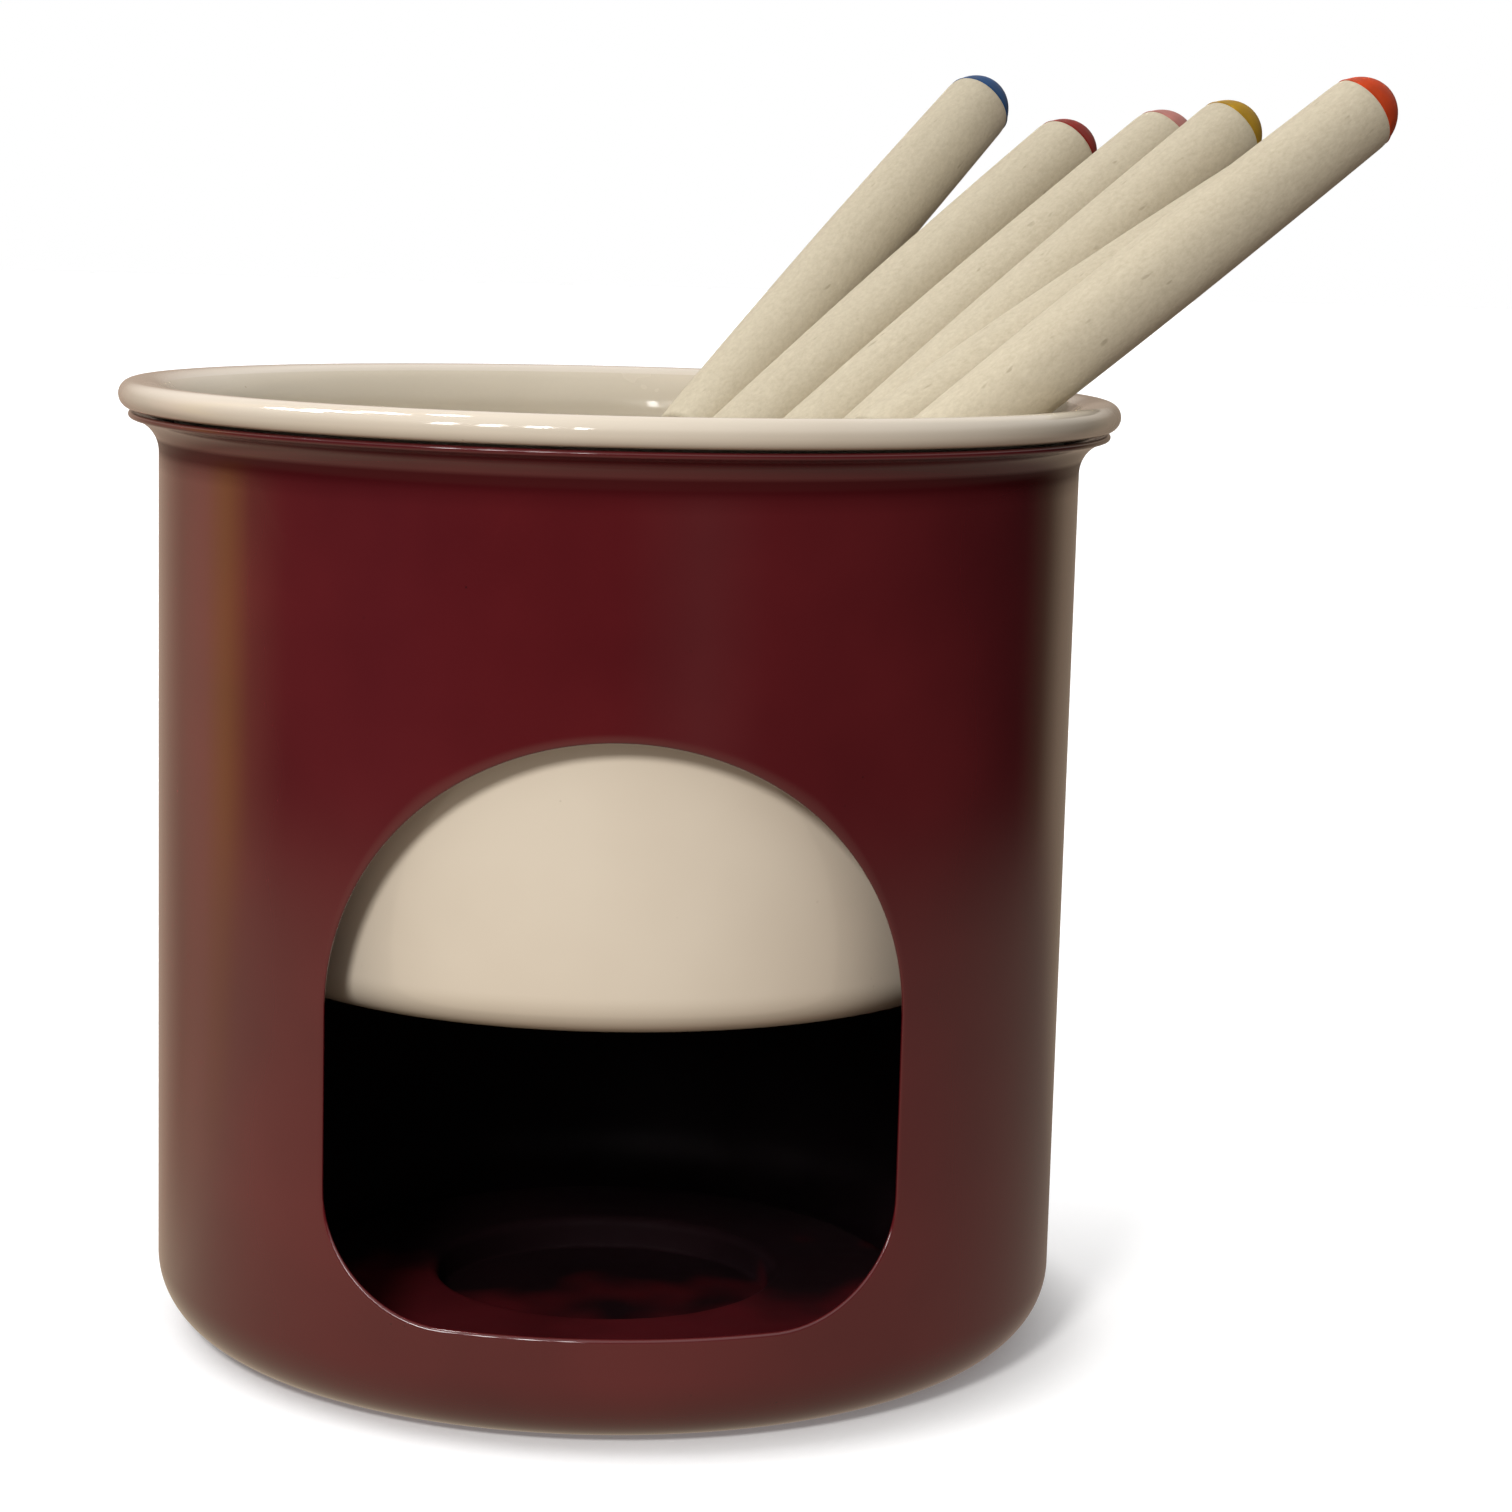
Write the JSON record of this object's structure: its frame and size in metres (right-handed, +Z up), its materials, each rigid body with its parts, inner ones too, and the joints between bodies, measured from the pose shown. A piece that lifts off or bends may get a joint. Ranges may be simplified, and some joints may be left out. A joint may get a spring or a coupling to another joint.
{
  "type": "fondue pot set",
  "caption": "Enamelled fondue pot hung by its rim in a sheet-steel warmer with an arched burner opening, with long forks with painted wooden handles.",
  "frame": {"origin": "centre of the base, on the surface the warmer stands on", "axes": "+Z up along the axis of the pot and warmer; the burner opening faces -Y"},
  "size_m": [0.1615, 0.1505, 0.1613],
  "materials": {
    "red_enamel": "glossy dark red enamel on thin sheet steel",
    "cream_enamel": "glossy cream enamel on steel",
    "bare_wood": "pale close-grained wood, sanded and unvarnished",
    "fork_steel": "polished stainless steel",
    "blue_paint": "blue paint on the rounded end of the wooden handle",
    "red_paint": "red paint on the rounded end of the wooden handle",
    "pink_paint": "pink paint on the rounded end of the wooden handle",
    "yellow_paint": "yellow paint on the rounded end of the wooden handle",
    "green_paint": "green paint on the rounded end of the wooden handle",
    "orange_paint": "orange paint on the rounded end of the wooden handle"
  },
  "bodies": {
    "warmer": {"warmer": "red_enamel"},
    "pot": {"pot": "cream_enamel"},
    "blue_fork": {"blue_handle": "bare_wood", "blue_tip": "blue_paint", "blue_steel": "fork_steel"},
    "red_fork": {"red_handle": "bare_wood", "red_tip": "red_paint", "red_steel": "fork_steel"},
    "pink_fork": {"pink_handle": "bare_wood", "pink_tip": "pink_paint", "pink_steel": "fork_steel"},
    "yellow_fork": {"yellow_handle": "bare_wood", "yellow_tip": "yellow_paint", "yellow_steel": "fork_steel"},
    "green_fork": {"green_handle": "bare_wood", "green_tip": "green_paint", "green_steel": "fork_steel"},
    "orange_fork": {"orange_handle": "bare_wood", "orange_tip": "orange_paint", "orange_steel": "fork_steel"}
  },
  "joints": [
    {"name": "pot_lift", "type": "slide", "parent": "warmer", "child": "pot", "axis": [0, 0, 1], "range_m": [0, 0.085]},
    {"name": "blue_fork_pull", "type": "slide", "parent": "pot", "child": "blue_fork", "axis": [0.5434, 0.591, 0.5962], "range_m": [0, 0.125]},
    {"name": "red_fork_pull", "type": "slide", "parent": "pot", "child": "red_fork", "axis": [0.6368, 0.5516, 0.5388], "range_m": [0, 0.125]},
    {"name": "pink_fork_pull", "type": "slide", "parent": "pot", "child": "pink_fork", "axis": [0.6679, 0.5181, 0.5344], "range_m": [0, 0.125]},
    {"name": "yellow_fork_pull", "type": "slide", "parent": "pot", "child": "yellow_fork", "axis": [0.6849, 0.4672, 0.5592], "range_m": [0, 0.125]},
    {"name": "green_fork_pull", "type": "slide", "parent": "pot", "child": "green_fork", "axis": [0.7642, 0.4236, 0.4863], "range_m": [0, 0.125]},
    {"name": "orange_fork_pull", "type": "slide", "parent": "pot", "child": "orange_fork", "axis": [0.7523, 0.3085, 0.5821], "range_m": [0, 0.125]}
  ]
}
